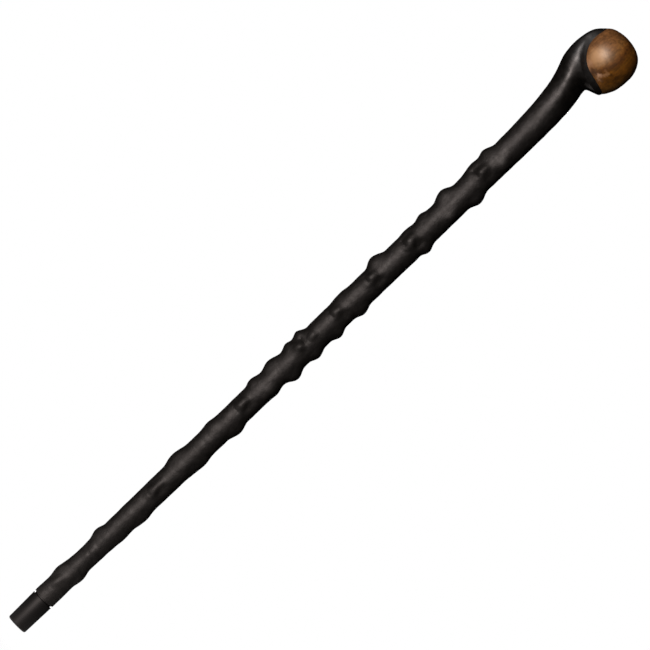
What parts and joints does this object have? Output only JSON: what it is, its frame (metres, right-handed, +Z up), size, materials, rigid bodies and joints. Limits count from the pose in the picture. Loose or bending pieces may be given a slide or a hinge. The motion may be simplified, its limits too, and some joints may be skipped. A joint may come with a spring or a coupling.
{
  "type": "shillelagh",
  "caption": "Knotted black walking stick with a swept neck that cradles a polished burl knob, and a pull-off rubber ferrule on its foot.",
  "frame": {"origin": "centre of the ferrule's foot face", "axes": "+Z up along the stick, from its foot to its knob; +X the side that the knob faces, with the neck sweeping to -X; -Y the front"},
  "size_m": [0.0715, 0.0594, 0.9314],
  "materials": {
    "black_wood": "satin black lacquer over knotted wood",
    "burl": "polished brown burl",
    "stud_steel": "rolled thread, plain steel",
    "rubber": "matte moulded rubber",
    "washer_steel": "stamped, zinc plated"
  },
  "bodies": {
    "stick": {"shaft": "black_wood", "knob": "burl", "knob_stud": "stud_steel"},
    "ferrule": {"ferrule": "rubber", "ferrule_washer": "washer_steel"}
  },
  "joints": [
    {"name": "ferrule_pull", "type": "slide", "parent": "stick", "child": "ferrule", "axis": [0, 0, -1], "range_m": [0, 0.04]}
  ]
}
